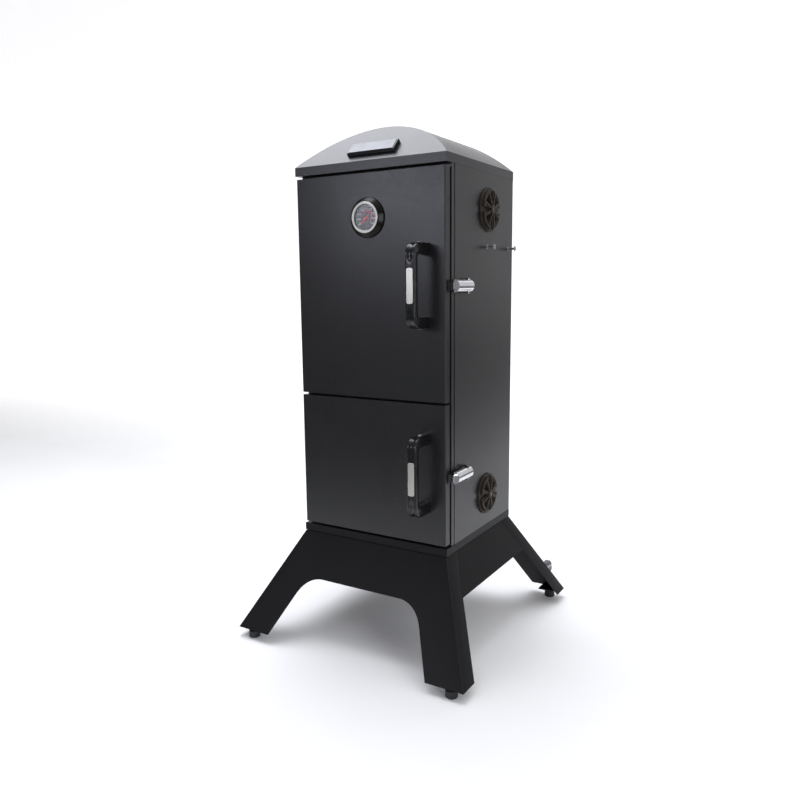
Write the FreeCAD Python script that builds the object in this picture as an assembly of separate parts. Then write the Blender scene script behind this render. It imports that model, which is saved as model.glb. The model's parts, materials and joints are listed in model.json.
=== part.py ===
import FreeCAD, Part
import os, math

# Upright cabinet smoker on splayed sheet-metal legs.
# Millimetres, +Z up, +X to the cabinet's right, doors face -Y, floor at z = 0.

V = FreeCAD.Vector

# ---- overall dimensions -------------------------------------------------
y_shift = -8.695             # centres the finished bounding box on y = 0
door_w = 407.0             # width of both doors
cab_hw = 205.8             # half width over the side walls
band_hw = 207.3            # half width over eave band and base rail
y_front = -183.0           # front face of the doors, eave band and base rail
y_rear = 183.0             # rear face of eave band and base rail
sheet = 1.5                # sheet-metal thickness

z_leg_bot = 24.0           # lower edge of the leg panels
z_rail_bot = 262.0
z_rail_top = 280.6
z_low_bot, z_low_top = 286.6, 618.2      # lower door
z_up_bot, z_up_top = 624.5, 1143.5       # upper door
z_band_bot, z_band_top = 1151.0, 1171.5
roof_rise = 85.5           # arch height above the eave
roof_slope = 0.956         # run per unit of rise on the front and rear hips

leg_lean = 0.595           # outward run per unit of drop, front and rear
leg_splay = 0.4835         # outward run per unit of drop, at the sides
leg_flange = 54.0          # depth of each leg's side flange
arch_z = 163.0             # flat top of the arch between the legs
arch_r = 74.0
skirt_z = 172.0            # lower edge of the side skirts

door_t = 22.0              # depth of the door pans
frame_y0, frame_y1 = -157.5, -143.0      # face frame
door_r = 2.5               # rounded vertical door edges

hinge_x, hinge_y = -210.5, -158.9
hinge_r, hinge_pin_r = 4.2, 2.4
hinge_gap = 0.05           # radial running clearance

damper_y = 33.5
damper_z = (363.0, 1065.4)
damper_r = 52.0

handle_x = 152.0
handle_w = 24.0
handle_out = 68.0
handle_low = (456.6, 188.0)    # centre height, length (lower door)
handle_up = (886.6, 188.0)     # centre height, length (upper door)

gauge_x, gauge_z = 2.0, 1043.0
gauge_r = 46.0

latch_z = (447.0, 886.0)
latch_pivot_y = -96.0
latch_pivot_x = 217.0

peg_y = (29.0, 156.0)
peg_z = 978.0

foot_x, foot_y = 284.0, 309.0
foot_r = 14.0

wheel_y, wheel_z, wheel_r = 321.0, 78.0, 21.0
wheel_x0, wheel_x1 = 262.0, 278.0

# ---- helpers ------------------------------------------------------------
def box(x0, x1, y0, y1, z0, z1):
    return Part.makeBox(x1 - x0, y1 - y0, z1 - z0, V(x0, y0, z0))

def cyl(x, y, z, axis, r, h):
    return Part.makeCylinder(r, h, V(x, y, z), V(*axis))

def ring(x, y, z, axis, ro, ri, h):
    return cyl(x, y, z, axis, ro, h).cut(cyl(x, y, z, axis, ri, h))

def poly(points):
    pts = [V(*p) for p in points]
    return Part.Face(Part.makePolygon(pts + [pts[0]]))

def prism(points, vec):
    return poly(points).extrude(V(*vec))

def fuse(shapes):
    s = shapes[0]
    if len(shapes) > 1:
        s = s.multiFuse(shapes[1:])
    return s.removeSplitter()

def group(shapes):
    return Part.makeCompound(shapes)

def mirror_x(s):
    return s.mirror(V(0, 0, 0), V(1, 0, 0))

def mirror_y(s):
    return s.mirror(V(0, 0, 0), V(0, 1, 0))

def revolve(profile, centre, axis):
    # profile: list of (radius, along) pairs; the along direction is axis
    ax = V(*axis)
    side = V(0, 0, 1) if abs(ax.z) < 0.5 else V(1, 0, 0)
    c = V(*centre)
    pts = [c + side * r + ax * a for r, a in profile]
    face = Part.Face(Part.makePolygon(pts + [pts[0]]))
    return face.revolve(c, ax, 360)

parts = {}

# ---- cabinet ------------------------------------------------------------
# wrapped side and rear walls with inward front flanges
shell_y0 = frame_y1 + 0.2
wall_out = box(-cab_hw, cab_hw, shell_y0, y_rear - sheet, 266.0, 1164.0)
wall_in = box(-cab_hw + sheet, cab_hw - sheet, shell_y0 - 1, y_rear - 2 * sheet, 265.0, 1165.0)
shell = wall_out.cut(wall_in)
for sx in (-1, 1):
    xa, xb = sorted((sx * (cab_hw - sheet), sx * (cab_hw - 19.0)))
    shell = shell.fuse(box(xa, xb, shell_y0, shell_y0 + sheet, z_rail_top, 1151.0))
for z in damper_z:
    shell = shell.cut(cyl(cab_hw - 5, damper_y, z, (1, 0, 0), 40.0, 10))
for y in peg_y:
    shell = shell.cut(cyl(cab_hw - 5, y, peg_z, (1, 0, 0), 3.0, 10))
parts["cabinet_shell"] = shell.removeSplitter()

# face frame: front plate with two openings, outer wrap and inner returns
win_hw = 183.0
win = ((304.0, 600.0), (648.0, 1125.0))
fr = box(-cab_hw, cab_hw, frame_y0, frame_y1, z_rail_top, z_band_bot)
fr = fr.cut(box(-cab_hw + sheet, cab_hw - sheet, frame_y0 + sheet, frame_y1 + 1,
                z_rail_top - 1, z_band_bot + 1))
rets = []
for z0, z1 in win:
    o = box(-win_hw - sheet, win_hw + sheet, frame_y0, frame_y1 - 1.0, z0 - sheet, z1 + sheet)
    fr = fr.fuse(o)
for z0, z1 in win:
    fr = fr.cut(box(-win_hw, win_hw, frame_y0 - 1, frame_y1 + 1, z0, z1))
# the divider lip between the two openings is closed behind
fr = fr.cut(box(-win_hw - 0.001, win_hw + 0.001, frame_y0 + sheet, frame_y1 + 1, 601.5, 646.5))
parts["front_frame"] = fr.removeSplitter()

# base pan: flat floor with a turned-down rail on all four sides
pan = box(-band_hw, band_hw, y_front, y_rear, z_rail_bot, z_rail_top)
pan = pan.cut(box(-band_hw + sheet, band_hw - sheet, y_front + sheet, y_rear - sheet,
                  z_rail_bot - 1, z_rail_top - sheet))
# slot where the wall wrap passes through the floor into the rail
slot = box(-cab_hw, cab_hw, shell_y0, y_rear - sheet, 260.0, z_rail_top + 1).cut(
    box(-cab_hw + sheet, cab_hw - sheet, shell_y0 - 1, y_rear - 2 * sheet, 259.0, z_rail_top + 2))
pan = pan.cut(slot)
parts["base_pan"] = pan.removeSplitter()

# ---- roof ---------------------------------------------------------------
def arch_profile(hw, z0, rise, y):
    # closed face below the arch, at plane y
    a = Part.Arc(V(-hw, y, z0), V(0, y, z0 + rise), V(hw, y, z0)).toShape()
    l = Part.makeLine(V(hw, y, z0), V(-hw, y, z0))
    return Part.Face(Part.Wire([a, l]))

def roof_solid(hw, z0, rise, yf, yr, z_bottom, t):
    # barrel with both ends cut by hips; t moves the hips inwards
    s = arch_profile(hw, z0, rise, yf).extrude(V(0, yr - yf, 0))
    up = rise + 60
    tn = t * math.sqrt(1 + roof_slope ** 2) if t else 0.0
    f0 = yf
    cut_f = prism([(-400, f0 - 300, z0 - 1), (-400, f0 + tn - roof_slope, z0 - 1),
                   (-400, f0 + tn + roof_slope * up, z0 + up), (-400, f0 - 300, z0 + up)], (800, 0, 0))
    cut_r = prism([(-400, yr + 300, z0 - 1), (-400, yr - tn + roof_slope, z0 - 1),
                   (-400, yr - tn - roof_slope * up, z0 + up), (-400, yr + 300, z0 + up)], (800, 0, 0))
    s = s.cut(cut_f).cut(cut_r)
    s = s.fuse(box(-hw, hw, yf, yr, z_bottom, z0))
    return s.removeSplitter()

outer = roof_solid(band_hw, z_band_top, roof_rise, y_front, y_rear, z_band_bot, 0)
ti = sheet
inner = roof_solid(band_hw - ti, z_band_top, roof_rise - ti, y_front + ti, y_rear - ti, z_band_bot - 5, 0.0)
# inner barrel hips follow the outer ones at the sheet thickness
hood = outer.cut(inner)
# front cap: everything ahead of the hip's inner face, with the band's corner returns
split_y = frame_y0 - 0.3
up = roof_rise + 60
k = ti * math.sqrt(1 + roof_slope ** 2)
front_region = prism([(-400, y_front - 50, z_band_bot - 10), (-400, split_y, z_band_bot - 10),
                      (-400, split_y, z_band_top + (split_y - y_front - k) / roof_slope),
                      (-400, y_front + k + roof_slope * up, z_band_top + up),
                      (-400, y_front - 50, z_band_top + up)], (800, 0, 0))
# above the band the barrel sheet belongs to the cover
hip_sheet_front = prism([(-400, y_front - 50, z_band_top), (-400, y_front + k, z_band_top),
                         (-400, y_front + k + roof_slope * up, z_band_top + up),
                         (-400, y_front - 50, z_band_top + up)], (800, 0, 0))
cap_upper = hood.common(hip_sheet_front)
cap_band = hood.common(box(-400, 400, y_front - 1, split_y, z_band_bot - 1, z_band_top))
cap_lip = box(-band_hw + ti, band_hw - ti, y_front + ti, split_y, z_band_bot, z_band_bot + ti)
roof_front = fuse([cap_upper, cap_band, cap_lip])
rear_split = y_rear - 20.0
hip_sheet_rear = mirror_y(hip_sheet_front)
rcap_upper = hood.common(hip_sheet_rear)
rcap_band = hood.common(box(-400, 400, rear_split, y_rear + 1, z_band_bot - 1, z_band_top))
roof_rear = fuse([rcap_upper, rcap_band])
cover = hood.cut(roof_front).cut(roof_rear)
parts["roof_front_cap"] = roof_front
parts["roof_rear_cap"] = roof_rear
parts["roof_cover"] = cover.removeSplitter()

# blank badge block standing square to the front hip
nrm = 1.0 / math.sqrt(1 + roof_slope ** 2)
uy, uz = roof_slope * nrm, nrm          # up the hip
ny, nz = -nrm, roof_slope * nrm         # out of the hip
b0y, b0z = y_front + roof_slope * 13.0, z_band_top + 13.0
bl, bt = 37.0, 9.0
badge_x0, badge_w = -58.5, 127.0
pts = [(b0y, b0z), (b0y + ny * bt * 0.55, b0z + nz * bt * 0.55), (b0y + ny * bt + uy * 2.0, b0z + nz * bt + uz * 2.0),
       (b0y + ny * bt + uy * (bl - 2.0), b0z + nz * bt + uz * (bl - 2.0)),
       (b0y + ny * bt * 0.55 + uy * bl, b0z + nz * bt * 0.55 + uz * bl), (b0y + uy * bl, b0z + uz * bl)]
parts["nameplate_base"] = prism([(badge_x0, p[0], p[1]) for p in pts], (badge_w, 0, 0))
fy0, fz0 = b0y + ny * bt + uy * 3.0, b0z + nz * bt + uz * 3.0
fl = bl - 6.0
pts = [(fy0, fz0), (fy0 + ny * 1.2, fz0 + nz * 1.2), (fy0 + ny * 1.2 + uy * fl, fz0 + nz * 1.2 + uz * fl),
       (fy0 + uy * fl, fz0 + uz * fl)]
parts["nameplate"] = prism([(badge_x0 + 3.0, p[0], p[1]) for p in pts], (badge_w - 6.0, 0, 0))

# ---- legs ---------------------------------------------------------------
def frustum(inset):
    # leg skirt block between rail and leg ends; inset is normal to each wall
    iy = inset * math.sqrt(1 + leg_lean ** 2)
    ix = inset * math.sqrt(1 + leg_splay ** 2)
    def corner(z):
        d = z_rail_bot - z
        return (band_hw - 1.3 + leg_splay * d - ix, -y_front + leg_lean * d - iy)
    wires = []
    lo = z_leg_bot - (5 if inset else 0)
    hi = z_rail_bot + (5 if inset else 0)
    for z in (lo, hi):
        x, y = corner(z)
        p = [V(-x, -y, z), V(x, -y, z), V(x, y, z), V(-x, y, z)]
        wires.append(Part.makePolygon(p + [p[0]]))
    return Part.makeLoft(wires, True, True)

leg_t = 2.0
skirt_all = frustum(0).cut(frustum(leg_t))

def arch_cut():
    # opening between the legs: straight top, rounded corners, splayed sides
    s = 0.4835
    xi = 158.5                      # inner leg edge extended to the arch top
    ang = math.atan(s)              # lean of the inner edges from vertical
    turn = math.pi / 2 - ang
    tl = arch_r * math.tan(turn / 2)
    a = V(-xi + tl, 0, arch_z)                       # tangent point on the top
    b = V(-xi - tl * math.sin(ang), 0, arch_z - tl * math.cos(ang))   # on the leg edge
    c = V(-xi + tl, 0, arch_z - arch_r)              # arc centre
    m = V(-xi, 0, arch_z) - c
    m = c + m * (arch_r / m.Length)
    zb = z_leg_bot - 20
    xb = xi + s * (arch_z - zb)
    flip = lambda p: V(-p.x, p.y, p.z)
    edges = [Part.makeLine(V(-xb, 0, zb), b), Part.Arc(b, m, a).toShape(),
             Part.makeLine(a, flip(a)), Part.Arc(flip(a), flip(m), flip(b)).toShape(),
             Part.makeLine(flip(b), V(xb, 0, zb)), Part.makeLine(V(xb, 0, zb), V(-xb, 0, zb))]
    f = Part.Face(Part.Wire(edges))
    f.translate(V(0, -500, 0))
    return f.extrude(V(0, 1000, 0))

def front_half(depth):
    # region within `depth` of the front leg face
    d = z_rail_bot - z_leg_bot + 40
    y1 = y_front + depth + leg_lean * 20
    return prism([(-500, y1, z_rail_bot + 20), (-500, y1 - leg_lean * (d - 0), z_rail_bot + 20 - d),
                  (-500, -700, z_rail_bot + 20 - d), (-500, -700, z_rail_bot + 20)], (1000, 0, 0))

front_zone = front_half(leg_flange)
front_leg = skirt_all.common(front_zone).cut(arch_cut())
parts["front_leg_panel"] = front_leg.removeSplitter()
parts["rear_leg_panel"] = mirror_y(front_leg).removeSplitter()
mid = skirt_all.cut(front_zone).cut(mirror_y(front_zone))
mid = mid.common(box(-500, 500, -400, 400, skirt_z, z_rail_bot))
parts["right_skirt"] = mid.common(box(0, 500, -400, 400, 0, 400)).removeSplitter()
parts["left_skirt"] = mid.common(box(-500, 0, -400, 400, 0, 400)).removeSplitter()

# weld-nut tabs at the leg ends, and the levelling feet
def leg_y(z):
    return y_front - leg_lean * (z_rail_bot - z)      # outer front face of a leg

tabs = []
for sx in (-1, 1):
    for sy in (-1, 1):
        z0, z1 = 27.0, 30.0
        ya = leg_y(z1) + leg_t * math.sqrt(1 + leg_lean ** 2) + 0.02
        tab = box(sx * foot_x - 22, sx * foot_x + 22, ya, ya + 42, z0, z1)
        nut = Part.Face(Part.makePolygon([V(sx * foot_x + 7.5 * math.cos(math.radians(60 * i)),
                                            -foot_y + 0.9 + 7.5 * math.sin(math.radians(60 * i)), z1)
                                          for i in list(range(6)) + [0]])).extrude(V(0, 0, 5))
        t = tab.fuse(nut).cut(cyl(sx * foot_x, -foot_y + 0.9, z0 - 1, (0, 0, 1), 3.6, 12))
        # trim anything that would touch the leaning wall
        wall = prism([(-500, leg_y(20) - 50, 20), (-500, leg_y(20) + 2.4, 20), (-500, leg_y(60) + 2.4, 60),
                      (-500, leg_y(60) - 50, 60)], (1000, 0, 0))
        t = t.cut(wall)
        if sy > 0:
            t = mirror_y(t)
        tabs.append(t)
parts["foot_tabs"] = group(tabs)

def foot(x, y):
    pts = [(0, 0), (foot_r - 2.5, 0), (foot_r, 2.5), (foot_r, 17.0), (foot_r - 1.5, 18.5), (9.0, 18.5),
           (9.0, 26.6), (3.5, 26.6), (3.5, 37.5), (0, 37.5)]
    return revolve(pts, (x, y, 0), (0, 0, 1))
fy = foot_y - 0.9
parts["foot_front_left"] = foot(-foot_x, -fy)
parts["foot_front_right"] = foot(foot_x, -fy)
parts["foot_rear_left"] = foot(-foot_x, fy)
parts["foot_rear_right"] = foot(foot_x, fy)

# small tilt wheels behind the rear legs
br, ax_, = [], []
def rear_y(z):
    return -leg_y(z)
for sx in (-1, 1):
    x0, x1 = wheel_x0, wheel_x1
    cheeks = []
    for xa, xb in ((x0 - 3.4, x0 - 0.9), (x1 + 0.9, x1 + 3.4)):
        plate = prism([(xa, rear_y(wheel_z + 17) + 0.05, wheel_z + 17), (xa, wheel_y - 2, wheel_z + 12),
                       (xa, wheel_y + 8, wheel_z + 8), (xa, wheel_y + 9, wheel_z - 6),
                       (xa, wheel_y + 3, wheel_z - 9), (xa, rear_y(wheel_z - 17) + 0.05, wheel_z - 17)],
                      (xb - xa, 0, 0))
        cheeks.append(plate)
    back = prism([(x0 - 3.4, rear_y(wheel_z + 17) + 0.05, wheel_z + 17),
                  (x0 - 3.4, rear_y(wheel_z + 17) + 2.6, wheel_z + 17),
                  (x0 - 3.4, rear_y(wheel_z - 17) + 2.6, wheel_z - 17),
                  (x0 - 3.4, rear_y(wheel_z - 17) + 0.05, wheel_z - 17)], (x1 - x0 + 6.8, 0, 0))
    b = fuse([back] + cheeks)
    b = b.cut(cyl(x0 - 10, wheel_y, wheel_z, (1, 0, 0), 3.0, 50))
    a = fuse([cyl(x0 - 5.4, wheel_y, wheel_z, (1, 0, 0), 3.0, x1 - x0 + 9.8),
              cyl(x1 + 3.4, wheel_y, wheel_z, (1, 0, 0), 5.0, 2.5),
              cyl(x0 - 5.9, wheel_y, wheel_z, (1, 0, 0), 5.0, 2.5)])
    w = revolve([(3.06, 0.0), (7.5, 0.0), (7.5, 2.5), (14.5, 2.5), (14.5, 0.8), (wheel_r - 2, 0.8), (wheel_r, 2.8),
                 (wheel_r, 13.2), (wheel_r - 2, 15.2), (14.5, 15.2), (14.5, 13.5), (7.5, 13.5), (7.5, 16.0), (3.06, 16.0)],
                (x0, wheel_y, wheel_z), (1, 0, 0))
    if sx < 0:
        b, a, w = mirror_x(b), mirror_x(a), mirror_x(w)
    br.append(b)
    ax_.append(a)
    parts["wheel_right" if sx > 0 else "wheel_left"] = w
parts["wheel_brackets"] = group(br)
parts["wheel_axles"] = group(ax_)

# ---- doors --------------------------------------------------------------
def door_pan(z0, z1, t=sheet):
    hw = door_w / 2
    yb = y_front + door_t
    o = box(-hw, hw, y_front, yb, z0, z1)
    vert = [e for e in o.Edges if abs(e.Vertexes[0].Point.x - e.Vertexes[-1].Point.x) < 1e-6
            and abs(e.Vertexes[0].Point.y - y_front) < 1e-6 and abs(e.Vertexes[-1].Point.y - y_front) < 1e-6]
    o = o.makeFillet(door_r, vert)
    i = box(-hw + t, hw - t, y_front + t, yb - t, z0 + t, z1 - t)
    vert = [e for e in i.Edges if abs(e.Vertexes[0].Point.x - e.Vertexes[-1].Point.x) < 1e-6
            and abs(e.Vertexes[0].Point.y - y_front - t) < 1e-6 and abs(e.Vertexes[-1].Point.y - y_front - t) < 1e-6]
    i = i.makeFillet(door_r - t, vert)
    s = o.cut(i)
    return s.cut(box(-hw + 9, hw - 9, yb - t - 1, yb + 1, z0 + 9, z1 - 9))

def door_liner(z0, z1):
    yb = y_front + door_t - sheet
    return box(-door_w / 2 + 2.0, door_w / 2 - 2.0, yb - 1.2, yb, z0 + 2.0, z1 - 2.0)

def gasket(z0, z1):
    yb = y_front + door_t
    # woven cord seated on the pan's return lip
    return box(-200.0, 200.0, yb, yb + 2.9, z0 + 2.5, z1 - 2.5).cut(
        box(-194.5, 194.5, yb - 1, yb + 4, z0 + 8.0, z1 - 8.0))

up_pan = door_pan(z_up_bot, z_up_top).cut(cyl(gauge_x, y_front - 5, gauge_z, (0, 1, 0), 6.0, 12))
parts["upper_door"] = up_pan
parts["upper_door_liner"] = door_liner(z_up_bot, z_up_top).cut(
    cyl(gauge_x, y_front - 5, gauge_z, (0, 1, 0), 6.0, 60))
parts["upper_door_gasket"] = gasket(z_up_bot, z_up_top)
parts["lower_door"] = door_pan(z_low_bot, z_low_top)
parts["lower_door_liner"] = door_liner(z_low_bot, z_low_top)
parts["lower_door_gasket"] = gasket(z_low_bot, z_low_top)

# ---- hinges -------------------------------------------------------------
hinge_z = {"upper": (700.0, 1072.0), "lower": (345.0, 560.0)}
fixed_leaves, pins = [], []
moving = {"upper": [], "lower": []}
for name, zs in hinge_z.items():
    for zc in zs:
        # two fixed knuckles with the door's knuckle between them
        plate = box(hinge_x + 0.5, -cab_hw, hinge_y - 0.6, -112.0, zc - 24, zc + 24)
        plate = plate.cut(box(hinge_x - 10, -cab_hw - 1.6, hinge_y + 3.9, -100.0, zc - 30, zc + 30))
        plate = plate.cut(box(hinge_x - 10, -cab_hw + 1, hinge_y - 6, hinge_y + 5.2, zc - 10.5, zc + 10.5))
        f = [plate, cyl(hinge_x, hinge_y, zc - 24, (0, 0, 1), hinge_r, 13.5),
             cyl(hinge_x, hinge_y, zc + 10.5, (0, 0, 1), hinge_r, 13.5)]
        f = fuse(f).cut(cyl(hinge_x, hinge_y, zc - 30, (0, 0, 1), hinge_pin_r, 60))
        fixed_leaves.append(f)
        pins.append(fuse([cyl(hinge_x, hinge_y, zc - 24, (0, 0, 1), hinge_pin_r, 48),
                          cyl(hinge_x, hinge_y, zc + 24, (0, 0, 1), 3.6, 2.2)]))
        xd = -door_w / 2
        leaf = box(xd - 1.6, xd, y_front + 4.0, hinge_y - 1.4, zc - 10, zc + 10)
        tongue = box(hinge_x + 1.0, xd, hinge_y - 3.6, hinge_y - 1.4, zc - 10, zc + 10)
        m = fuse([leaf, tongue, cyl(hinge_x, hinge_y, zc - 10, (0, 0, 1), hinge_r, 20)])
        m = m.cut(cyl(hinge_x, hinge_y, zc - 30, (0, 0, 1), hinge_pin_r + hinge_gap, 60))
        moving[name].append(m)
parts["hinge_fixed_leaves"] = group(fixed_leaves)
parts["hinge_pins"] = group(pins)
parts["upper_door_hinge_leaves"] = group(moving["upper"])
parts["lower_door_hinge_leaves"] = group(moving["lower"])

# ---- handles ------------------------------------------------------------
def inlay_block(zc, y0, y1):
    b = box(handle_x - 8.0, handle_x + 8.0, y0, y1, zc - 38.5, zc + 38.5)
    across = [e for e in b.Edges if abs(e.Vertexes[0].Point.y - e.Vertexes[-1].Point.y) > 1e-3]
    return b.makeFillet(4.5, across)

def handle(zc, length):
    h2 = length / 2
    yo = y_front - handle_out
    arm = 25.0                     # height of each arm at the door
    bar = 17.0                     # depth of the grip
    outer = [(y_front, -h2), (y_front - 30, -h2), (yo + 11, -h2 + 3), (yo + 3, -h2 + 13), (yo, -h2 + 30),
             (yo, h2 - 30), (yo + 3, h2 - 13), (yo + 11, h2 - 3), (y_front - 30, h2), (y_front, h2),
             (y_front, h2 - arm), (yo + bar + 7, h2 - arm), (yo + bar, h2 - arm - 9),
             (yo + bar, -h2 + arm + 9), (yo + bar + 7, -h2 + arm), (y_front, -h2 + arm)]
    s = prism([(handle_x - handle_w / 2, y, zc + z) for y, z in outer], (handle_w, 0, 0))
    # pocket for the metal inlay
    s = s.cut(inlay_block(zc, yo - 1.0, yo + 2.0))
    edges = [e for e in s.Edges if abs(e.Vertexes[0].Point.x - e.Vertexes[-1].Point.x) < 1e-6
             and abs(abs(e.Vertexes[0].Point.x - handle_x) - handle_w / 2) < 1e-3
             and min(v.Point.y for v in e.Vertexes) < y_front - 1
             and not (abs(e.Vertexes[0].Point.y - y_front) < 1e-3 and abs(e.Vertexes[-1].Point.y - y_front) < 1e-3)]
    try:
        s2 = s.makeFillet(2.5, edges)
        if s2.isValid():
            s = s2
    except Exception:
        pass
    return s

def handle_inlay(zc):
    yo = y_front - handle_out
    return inlay_block(zc, yo - 0.8, yo + 2.0)

def handle_screws(zc, length):
    out = []
    for s in (-1, 1):
        z = zc + s * (length / 2 - 12.5)
        # screw from inside the door pan into the arm
        out.append(fuse([cyl(handle_x, y_front + sheet, z, (0, 1, 0), 6.0, 3.0),
                         cyl(handle_x, y_front - 20, z, (0, 1, 0), 2.5, 20 + sheet)]))
    return out

def handle_clips(zc, length):
    # bright spring clips where grip and stand-off meet
    out = []
    for s in (-1, 1):
        zt = zc + s * (length / 2)
        za, zb = sorted((zt, zt + s * 1.4))
        out.append(box(handle_x - 4.0, handle_x + 4.0, y_front - 27.0, y_front - 17.0, za, zb))
    return out

for name, (zc, ln) in (("upper", handle_up), ("lower", handle_low)):
    hs = handle_screws(zc, ln)
    grip = handle(zc, ln)
    for h in hs:
        grip = grip.cut(h)
    parts[name + "_handle_grip"] = grip
    parts[name + "_handle_inlay"] = handle_inlay(zc)
    parts[name + "_handle_fasteners"] = group(hs + handle_clips(zc, ln))
    for h in hs:
        parts[name + "_door"] = parts[name + "_door"].cut(h)

# ---- thermometer --------------------------------------------------------
g = (gauge_x, y_front, gauge_z)
out = (0, -1, 0)
parts["thermometer_housing"] = revolve(
    [(6.0, 0.0), (gauge_r, 0.0), (gauge_r, 2.6), (gauge_r - 0.9, 4.4), (gauge_r - 3.0, 6.6), (gauge_r - 8.6, 12.2),
     (36.2, 13.0), (35.2, 13.0), (35.2, 9.0), (31.5, 9.0), (31.5, 4.6), (6.0, 4.6)], g, out)
parts["thermometer_ring"] = revolve(
    [(30.6, 9.0), (35.2, 9.0), (35.2, 14.0), (34.5, 14.7), (31.0, 14.7), (29.7, 13.6), (29.7, 12.4), (30.6, 12.4)], g, out)
parts["thermometer_dial"] = ring(gauge_x, y_front - 4.6, gauge_z, out, 31.5, 1.3, 2.0)
parts["thermometer_glass"] = cyl(gauge_x, y_front - 10.8, gauge_z, out, 30.6, 1.6)
stem = fuse([cyl(gauge_x, y_front - 4.6, gauge_z, (0, 1, 0), 6.0, 4.6 + door_t + 6.0),
             cyl(gauge_x, y_front + door_t + 6.0, gauge_z, (0, 1, 0), 3.2, 44.0)])
parts["thermometer_stem"] = stem
# spindle carries the pointer; it turns in the dial's bore
ang = math.radians(222.0)       # from straight up, clockwise seen from the front
dx, dz = math.sin(ang), math.cos(ang)
px, pz = math.cos(ang), -math.sin(ang)
def at(l, w):
    return (gauge_x + dx * l + px * w, y_front - 7.6, gauge_z + dz * l + pz * w)
point = prism([at(-4, -1.0), at(1, -2.8), at(22, -0.3), at(22, 0.3), at(1, 2.8), at(-4, 1.0)], (0, -0.8, 0))
hub = fuse([point, cyl(gauge_x, y_front - 7.4, gauge_z, out, 2.2, 1.6), cyl(gauge_x, y_front - 5.2, gauge_z, out, 1.2, 3.0)])
parts["thermometer_needle"] = hub

# ---- dampers ------------------------------------------------------------
def wedge(r0, r1, a0, a1, x0, x1):
    pts = []
    n = 6
    for i in range(n + 1):
        a = math.radians(a0 + (a1 - a0) * i / n)
        pts.append((x0, r1 * math.cos(a), r1 * math.sin(a)))
    for i in range(n + 1):
        a = math.radians(a1 - (a1 - a0) * i / n)
        pts.append((x0, r0 * math.cos(a), r0 * math.sin(a)))
    return prism(pts, (x1 - x0, 0, 0))

def damper(z):
    # fixed plate: four ports on the diagonals
    base = fuse([cyl(0, 0, 0, (1, 0, 0), damper_r, 4.0), cyl(0, 0, 0, (1, 0, 0), damper_r - 2.0, 5.0)])
    for a in (45, 135, 225, 315):
        base = base.cut(wedge(14.5, 36.5, a - 10, a + 10, -1, 6))
    base = base.cut(cyl(-1, 0, 0, (1, 0, 0), 3.0, 12))
    # turning disc: four windows on the diagonals, four slots open at the rim, eight ribs
    disc = [cyl(6.2, 0, 0, (1, 0, 0), 45.5, 3.4), ring(9.0, 0, 0, (1, 0, 0), 45.5, 41.5, 2.4),
            cyl(6.2, 0, 0, (1, 0, 0), 10.5, 9.2)]
    for i in range(8):
        r = prism([(9.0, 8.0, -2.2), (9.0, 43.0, -2.2), (11.4, 43.0, -2.2), (14.2, 9.0, -2.2)], (0, 0, 4.4))
        r.rotate(V(0, 0, 0), V(1, 0, 0), 22.5 + 45 * i)
        disc.append(r)
    disc = fuse(disc)
    for a in (45, 135, 225, 315):
        disc = disc.cut(wedge(14.0, 37.0, a - 15, a + 15, 5, 14))
    for a in (0, 90, 180, 270):
        disc = disc.cut(wedge(16.0, 52.0, a - 9, a + 9, 5, 16))
    disc = disc.cut(cyl(5, 0, 0, (1, 0, 0), 3.06, 12)).cut(cyl(11.6, 0, 0, (1, 0, 0), 5.6, 6))
    screw = fuse([cyl(-6.0, 0, 0, (1, 0, 0), 3.0, 19.0), cyl(12.0, 0, 0, (1, 0, 0), 5.2, 3.2),
                  cyl(-4.5, 0, 0, (1, 0, 0), 6.0, 4.5)])
    screw = screw.cut(box(14.3, 16.0, -6.0, 6.0, -0.7, 0.7))
    res = []
    for s in (base, disc, screw):
        s = s.copy()
        s.translate(V(cab_hw, damper_y, z))
        res.append(s)
    return res

bases, screws = [], []
for name, z in (("lower", damper_z[0]), ("upper", damper_z[1])):
    b, d, s = damper(z)
    bases.append(b)
    screws.append(s)
    parts[name + "_damper_disc"] = d
parts["damper_bases"] = group(bases)
parts["damper_screws"] = group(screws)

# ---- tool pegs ----------------------------------------------------------
pegs = []
for y in peg_y:
    pegs.append(revolve([(0, -6.0), (5.5, -6.0), (5.5, -sheet), (3.0, -sheet), (3.0, 0.0), (5.5, 0.0), (5.5, 1.6),
                         (3.0, 2.2), (3.0, 18.5), (6.5, 19.0), (6.5, 19.9), (5.6, 20.5), (0, 20.5)],
                        (cab_hw, y, peg_z), (1, 0, 0)))
parts["tool_pegs"] = group(pegs)

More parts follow.
